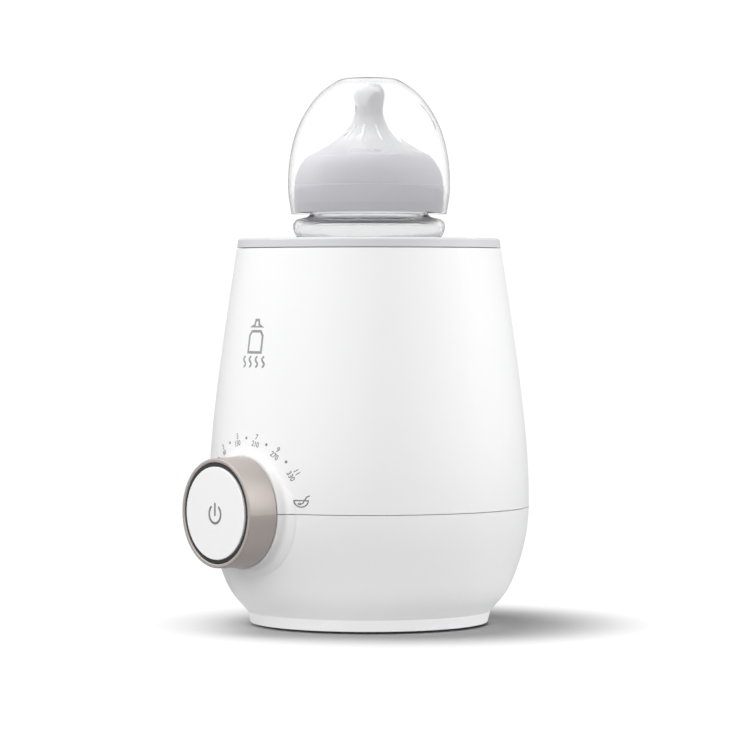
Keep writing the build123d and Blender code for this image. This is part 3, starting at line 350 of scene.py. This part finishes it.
def print_on(name, strokes, land, made, body):
    """Lay flat strokes on a surface, where land(x, y, lift) gives the point, as a thin solid film."""
    sheet = bmesh.new()
    for layer, faces in enumerate(strokes):
        drawn = bmesh.new()
        for face in faces:
            drawn.faces.new([drawn.verts.new((p.x, p.y, 0)) for p in face])
        bmesh.ops.remove_doubles(drawn, verts=drawn.verts, dist=1e-7)
        for _ in range(3):
            long_edges = [e for e in drawn.edges if e.calc_length() > FINE]
            if long_edges:
                bmesh.ops.subdivide_edges(drawn, edges=long_edges, cuts=1)
        bmesh.ops.triangulate(drawn, faces=drawn.faces)
        for v in drawn.verts:
            v.co = land(v.co.x, v.co.y, STROKE_STEP * (layer % 4 + 1))
        flat = bpy.data.meshes.new("flat")
        drawn.to_mesh(flat)
        drawn.free()
        sheet.from_mesh(flat)
        bpy.data.meshes.remove(flat)
    mesh = bpy.data.meshes.new(name)
    sheet.to_mesh(mesh)
    sheet.free()
    holder = bpy.data.objects.new("holder", mesh)
    scene.collection.objects.link(holder)
    film = holder.modifiers.new("film", "SOLIDIFY")
    film.thickness, film.offset = PRINT_FILM, 1
    thick = evaluated_mesh(holder)
    bpy.data.objects.remove(holder)
    keep_piece(name, thick, made, body)


def wall_of(node):
    """Landing on a CAD wall, straight back along the dial's axis; y is measured up from that axis."""
    tree = surface_tree(node)

    def land(x, y, lift):
        point, normal, _, _ = tree.ray_cast(Vector((x, -IN_FRONT, DIAL_Z + y)), Vector((0, 1, 0)))
        return point + normal * lift
    return land


def button_face(x, y, lift):
    """Landing on the button's flat face."""
    return Vector((x, BUTTON_FACE_Y - lift, DIAL_Z + y))


# The scale runs clockwise round the dial, one step of 11.25 degrees for each ounce.
SCALE_STEP = 11.25
SCALE_R, SCALE_LINE = 0.0317, 0.0015  # middle radius of the scale, and each row's distance from it
SCALE_DROP = 0.0009                   # the scale's centre is this far below the dial's axis
DIGIT, SQUEEZE = 0.00225, 0.9         # height of the digits, and how much narrower they are set
BOLD = 0.022                          # how far an outline is thickened, as a share of the digits' height
DOT_OUT, DOT_R = 0.0003, 0.00062
MARK_STEP, MARK_R = 7, 0.0303         # the food mark ends the scale, and the defrost mark starts it
PICTOGRAM_UP = 0.0708                 # the pictogram stands this far above the dial's axis
SCALE_LABELS = {-5: ("1", "30"), -3: ("3", "90"), -1: ("5", "150"),
                1: ("7", "210"), 3: ("9", "270"), 5: ("11", "330")}
SCALE_DOTS = (-4, -2, 0, 2, 4)


def on_scale(step, radius):
    """A place on the scale, steps to the right of its middle."""
    angle = math.radians(step * SCALE_STEP)
    return radius * math.sin(angle), radius * math.cos(angle) - SCALE_DROP


def scale_strokes():
    strokes = []
    for step, (ounces, millilitres) in SCALE_LABELS.items():
        for text, radius in ((ounces, SCALE_R + SCALE_LINE), (millilitres, SCALE_R - SCALE_LINE)):
            strokes.append(turned(lettering(text, DIGIT, SQUEEZE), on_scale(step, radius),
                                  step * SCALE_STEP))
    for step in SCALE_DOTS:
        strokes.append(dot(on_scale(step, SCALE_R + DOT_OUT), DOT_R))
    return strokes


def bowl_strokes(centre, size=0.0058, pen=0.0005):
    """A bowl with a spoon standing in it."""
    cx, cy = centre
    half = size / 2
    rim_y = cy + 0.0008
    bowl = [(cx - half, rim_y)] + ellipse_arc((cx, rim_y), (half, size * 0.47), 180, 360, 20)[1:]
    spoon = [(cx + half * 1.15, cy + size * 0.48), (cx + half * 0.78, cy + size * 0.40),
             (cx + half * 0.25, cy - 0.0003), (cx - half * 0.1, cy - 0.0008)]
    ladle = ellipse_arc((cx - half * 0.22, cy - 0.0006), (half * 0.20, half * 0.12), 0, 360, 16)[:-1]
    return [pen_stroke(bowl, pen, closed=True), pen_stroke(spoon, pen),
            pen_stroke(ladle, pen * 0.8, closed=True)]


def snowflake_strokes(centre, size=0.0064, pen=0.0005):
    """Three crossing bars with a fork near each of their six ends."""
    strokes = []
    middle = Vector(centre)
    for arm in range(3):
        tip = direction(math.radians(30 + 60 * arm)) * size / 2
        strokes.append(pen_stroke([tuple(middle - tip), tuple(middle + tip)], pen))
    for arm in range(6):
        angle = math.radians(30 + 60 * arm)
        fork = middle + direction(angle) * size * 0.27
        barbs = [fork + direction(angle + side) * size * 0.17 for side in (0.8, -0.8)]
        strokes.append(pen_stroke([tuple(barbs[0]), tuple(fork), tuple(barbs[1])], pen * 0.85))
    return strokes


def power_strokes():
    """The power mark: an open ring and a bar."""
    pen = 0.00105
    ring = ellipse_arc((0, -0.0003), (0.00385, 0.00385), 90 + 42, 90 + 318, 44)
    return [pen_stroke(ring, pen), pen_stroke([(0, -0.0007), (0, 0.0040)], pen)]


def pictogram_strokes(middle_y, pen=0.0011, size=1.1):
    """A plain feeding bottle over four rising waves of warmth."""
    body = [(-0.0039, 0), (0.0039, 0), (0.0039, 0.0064), (0.0026, 0.0081), (-0.0026, 0.0081),
            (-0.0039, 0.0064)]
    top = [(-0.0030, 0.0098), (-0.0013, 0.0105), (-0.0009, 0.0124), (0.0009, 0.0124), (0.0013, 0.0105),
           (0.0030, 0.0098)]
    foot = -0.0034
    strokes = [pen_stroke([(size * x, middle_y + size * (y + foot)) for x, y in outline], pen, closed=True)
               for outline in (body, top)]
    for column in (-0.0056, -0.0019, 0.0019, 0.0056):
        wave = [(size * (column + 0.0007 * math.sin(2 * math.pi * i / 16)),
                 middle_y + size * (foot - 0.0055 + 0.0038 * i / 16)) for i in range(17)]
        strokes.append(pen_stroke(wave, pen * 0.9))
    return strokes


print_grey = moulded("print_grey", (0.19, 0.19, 0.195), 0.5, depth=0.000004)
print_light = moulded("print_light", (0.29, 0.29, 0.295), 0.5, depth=0.000004)
on_housing = wall_of("upper_housing")
print_on("dial_scale_print", scale_strokes(), on_housing, print_grey, "housing")
print_on("food_mark_print", bowl_strokes(on_scale(MARK_STEP, MARK_R)), on_housing, print_grey, "housing")
print_on("defrost_mark_print", snowflake_strokes(on_scale(-MARK_STEP, MARK_R)), on_housing, print_grey,
         "housing")
print_on("warming_mark_print", pictogram_strokes(PICTOGRAM_UP), on_housing, print_light, "housing")
print_on("power_mark_print", power_strokes(), button_face, print_grey, "button")


# ---------------------------------------------------------------- moulded details
PETALS, PETAL_WIDTH, PETAL_HEIGHT = 10, 0.0013, 0.0003
PETAL_IN, PETAL_OUT = 0.0078, 0.0150  # each rib runs between these distances from the axis
PETAL_CLEAR, PETAL_UNDER = 0.00003, 0.00001  # its edges and its underside lie this far above the cone


def teat_petals():
    """Tapered ribs that stiffen the teat's cone, standing a little out of its surface."""
    tree = surface_tree("teat")

    def cone_at(spot):
        point, normal, _, _ = tree.ray_cast(spot + Vector((0, 0, OBJECT_TOP)), Vector((0, 0, -1)))
        return point, normal

    drawn = bmesh.new()
    steps, across = 14, 6
    for petal in range(PETALS):
        angle = 2 * math.pi * (petal + 0.5) / PETALS
        out = Vector((math.cos(angle), math.sin(angle), 0))
        aside = Vector((-out.y, out.x, 0))
        rows = []
        for i in range(steps + 1):
            along = i / steps
            width = PETAL_WIDTH * math.sin(math.pi * (0.06 + 0.88 * along)) ** 0.7
            start = out * (PETAL_IN + (PETAL_OUT - PETAL_IN) * along)
            row = []
            for j in range(across + 1):
                swing = 2 * j / across - 1
                point, normal = cone_at(start + aside * swing * width / 2)
                rise = PETAL_HEIGHT * math.sin(math.pi * along) * (1 - swing * swing) + PETAL_CLEAR
                row.append(drawn.verts.new(point + normal * rise))
            under, normal = cone_at(start)
            row.append(drawn.verts.new(under + normal * PETAL_UNDER))
            rows.append(row)
        for a, b in zip(rows, rows[1:]):
            for j in range(across + 2):
                k = (j + 1) % (across + 2)
                drawn.faces.new((a[j], a[k], b[k], b[j]))
        drawn.faces.new(rows[0][::-1])
        drawn.faces.new(rows[-1])
    for face in drawn.faces:
        face.smooth = True
    keep_piece("teat_petals", finished_mesh("teat_petals", drawn), teat_rib, "teat")


THREAD_TURNS, THREAD_PITCH, THREAD_WIDTH = 1.6, 0.004, 0.0016
NECK_R, THREAD_R, THREAD_LOW = 0.0254, 0.0267, 0.1835
THREAD_ROOT, THREAD_EASE = 0.0004, 0.0003  # how deep it sits in the neck, and how its crest is eased


def neck_thread():
    """The screw thread on the bottle's neck: a helical ridge with tapered ends."""
    drawn = bmesh.new()
    steps = 150
    rows = []
    for i in range(steps + 1):
        along = i / steps
        angle = 2 * math.pi * THREAD_TURNS * along
        full = min(1.0, along * 12, (1 - along) * 12)
        crest = NECK_R + (THREAD_R - NECK_R) * max(0.05, full)
        middle = THREAD_LOW + THREAD_PITCH * THREAD_TURNS * along
        root, flank = NECK_R - THREAD_ROOT, crest - THREAD_EASE
        corners = ((root, -THREAD_WIDTH / 2), (flank, -THREAD_WIDTH / 4), (crest, 0),
                   (flank, THREAD_WIDTH / 4), (root, THREAD_WIDTH / 2))
        rows.append([drawn.verts.new((r * math.cos(angle), r * math.sin(angle), middle + z))
                     for r, z in corners])
    for a, b in zip(rows, rows[1:]):
        for j in range(len(corners)):
            k = (j + 1) % len(corners)
            drawn.faces.new((a[j], b[j], b[k], a[k]))
    drawn.faces.new(rows[0])
    drawn.faces.new(rows[-1][::-1])
    keep_piece("neck_thread", finished_mesh("neck_thread", drawn), bottle_clear, "bottle")


def pressed_spring():
    """The button's spring as a piece with its own mesh, riding on the housing; it stands on the core's
    floor.
    """
    spring = keep_piece("press_spring", NODES["button_spring"].data.copy(), spring_steel, "housing")
    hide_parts("button_spring")
    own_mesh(spring)


teat_petals()
neck_thread()
pressed_spring()


# ---------------------------------------------------------------- studio and camera
def make_camera():
    """The camera, and the level directions from the object towards it and to its right."""
    data = bpy.data.cameras.new("camera")
    data.lens, data.sensor_width = LENS_MM, SENSOR_MM
    data.clip_start, data.clip_end = 0.05, 50
    camera = bpy.data.objects.new("camera", data)
    scene.collection.objects.link(camera)
    back = Vector((math.sin(VIEW_AZIMUTH), -math.cos(VIEW_AZIMUTH), 0))
    right = Vector((math.cos(VIEW_AZIMUTH), math.sin(VIEW_AZIMUTH), 0))
    place = back * CAMERA_DISTANCE + Vector((0, 0, CAMERA_HEIGHT))
    aim = right * CAMERA_ASIDE + Vector((0, 0, CAMERA_HEIGHT - CAMERA_DISTANCE * math.tan(CAMERA_PITCH)))
    camera.location = place
    camera.rotation_euler = (aim - place).to_track_quat("-Z", "Y").to_euler()
    scene.camera = camera
    return back, right


def area_light(name, place, aim, size, power, through_plastic=True, receivers=None):
    """A rectangular lamp that no reflection shows; through_plastic says if clear plastic lets it in."""
    data = bpy.data.lights.new(name, "AREA")
    data.shape = "RECTANGLE"
    data.size, data.size_y = size
    data.energy = power
    light = bpy.data.objects.new(name, data)
    light.location = place
    light.rotation_euler = (Vector(aim) - Vector(place)).to_track_quat("-Z", "Y").to_euler()
    light.visible_glossy = False
    light.visible_transmission = through_plastic
    light.light_linking.receiver_collection = receivers
    scene.collection.objects.link(light)


def seen_by_camera(nodes, links):
    """The light path, and 1 on it for what the camera sees, directly or through clear plastic."""
    path = nodes.new("ShaderNodeLightPath")
    seen = nodes.new("ShaderNodeMath")
    seen.operation = "MAXIMUM"
    links.new(path.outputs["Is Camera Ray"], seen.inputs[0])
    links.new(path.outputs["Is Transmission Ray"], seen.inputs[1])
    return path, seen.outputs["Value"]


def make_floor(right):
    """A white sweep: it takes the object's shadow close by and is plain white further out."""
    mesh = bpy.data.meshes.new("floor")
    corners = [(x * FLOOR_REACH, y * FLOOR_REACH, 0) for x, y in ((-1, -1), (1, -1), (1, 1), (-1, 1))]
    mesh.from_pydata(corners, [], [(0, 1, 2, 3)])
    floor = bpy.data.objects.new("floor", mesh)
    scene.collection.objects.link(floor)
    paper = bpy.data.materials.new("studio_paper")
    paper.use_nodes = True
    nodes, links = paper.node_tree.nodes, paper.node_tree.links
    nodes.clear()
    _, seen = seen_by_camera(nodes, links)
    place = nodes.new("ShaderNodeTexCoord")
    length = nodes.new("ShaderNodeVectorMath")
    length.operation = "DISTANCE"
    length.inputs[1].default_value = right * SHADOW_ASIDE
    links.new(place.outputs["Object"], length.inputs[0])
    fade = nodes.new("ShaderNodeMapRange")
    fade.interpolation_type = "SMOOTHSTEP"
    fade.inputs["From Min"].default_value = FLOOR_FADE[0]
    fade.inputs["From Max"].default_value = FLOOR_FADE[1]
    links.new(length.outputs["Value"], fade.inputs["Value"])
    matt = nodes.new("ShaderNodeBsdfDiffuse")
    shade = nodes.new("ShaderNodeMapRange")
    shade.inputs["To Min"].default_value = FLOOR_BOUNCE
    shade.inputs["To Max"].default_value = FLOOR_SEEN
    links.new(seen, shade.inputs["Value"])
    links.new(shade.outputs["Result"], matt.inputs["Color"])
    glow = nodes.new("ShaderNodeEmission")
    level = nodes.new("ShaderNodeMapRange")
    level.inputs["To Min"].default_value = WORLD_LIGHT
    level.inputs["To Max"].default_value = SEEN_WHITE
    links.new(seen, level.inputs["Value"])
    links.new(level.outputs["Result"], glow.inputs["Strength"])
    mix = nodes.new("ShaderNodeMixShader")
    links.new(fade.outputs["Result"], mix.inputs["Fac"])
    links.new(matt.outputs["BSDF"], mix.inputs[1])
    links.new(glow.outputs["Emission"], mix.inputs[2])
    links.new(mix.outputs["Shader"], nodes.new("ShaderNodeOutputMaterial").inputs["Surface"])
    floor.data.materials.append(paper)
    return floor


def make_world(side):
    """White all round for the camera and through clear plastic, and softer as a light.

    Reflections see it brightest to the left and right, a little above the object, where a studio's
    diffusers stand.
    """
    world = bpy.data.worlds.new("studio")
    scene.world = world
    world.use_nodes = True
    nodes, links = world.node_tree.nodes, world.node_tree.links
    background = nodes["Background"]
    background.inputs["Color"].default_value = (1, 1, 1, 1)
    path, seen = seen_by_camera(nodes, links)
    place = nodes.new("ShaderNodeTexCoord")

    def along(way):
        node = nodes.new("ShaderNodeVectorMath")
        node.operation = "DOT_PRODUCT"
        node.inputs[1].default_value = way
        links.new(place.outputs["Generated"], node.inputs[0])
        return node.outputs["Value"]

    def maths(operation, a, b=0.0):
        node = nodes.new("ShaderNodeMath")
        node.operation = operation
        for value, socket in ((a, node.inputs[0]), (b, node.inputs[1])):
            if isinstance(value, float):
                socket.default_value = value
            else:
                links.new(value, socket)
        return node.outputs["Value"]

    nearness = maths("ADD", maths("MULTIPLY", maths("ABSOLUTE", along(side)), DIFFUSER_ASIDE),
                     maths("MULTIPLY", along((0, 0, 1)), DIFFUSER_UP))
    lobes = maths("POWER", maths("MAXIMUM", nearness, 0.0), DIFFUSER_TIGHT)
    diffusers = maths("MULTIPLY", lobes, DIFFUSER_LIGHT)
    gloss = maths("ADD", diffusers, GLOSS_LIGHT)
    lit = nodes.new("ShaderNodeMix")
    lit.inputs["A"].default_value = WORLD_LIGHT
    links.new(path.outputs["Is Glossy Ray"], lit.inputs["Factor"])
    links.new(gloss, lit.inputs["B"])
    strength = nodes.new("ShaderNodeMix")
    strength.inputs["B"].default_value = SEEN_WHITE
    links.new(seen, strength.inputs["Factor"])
    links.new(lit.outputs["Result"], strength.inputs["A"])
    links.new(strength.outputs["Result"], background.inputs["Strength"])


back, right = make_camera()
up = Vector((0, 0, 1))
make_world(right)
floor = make_floor(right)
off_floor = bpy.data.collections.new("off_floor")
off_floor.objects.link(floor)
off_floor.collection_objects[0].light_linking.link_state = "EXCLUDE"
area_light("key", back * 1.6 - right * 0.85 + up * 0.72, (0, 0, 0.12), (1.9, 1.4), 26,
           through_plastic=False)
area_light("top", up * 1.7 - right * 0.4 - back * 0.2, (0, 0, 0.1), (1.2, 1.2), 23)
area_light("left_fill", up * 0.5 - right * 1.6, (0, 0, 0.14), (1.1, 1.4), 2.5)
area_light("side_light", right * 1.6 - back * 0.1 + up * 0.4, (0, 0, 0.12), (1.3, 1.6), 26,
           through_plastic=False, receivers=off_floor)
area_light("low_fill", right * 1.5 + back * 0.9 + up * 0.12, (0, 0, 0.06), (2.0, 0.9), 7,
           through_plastic=False, receivers=off_floor)
scene.view_settings.view_transform = "Standard"
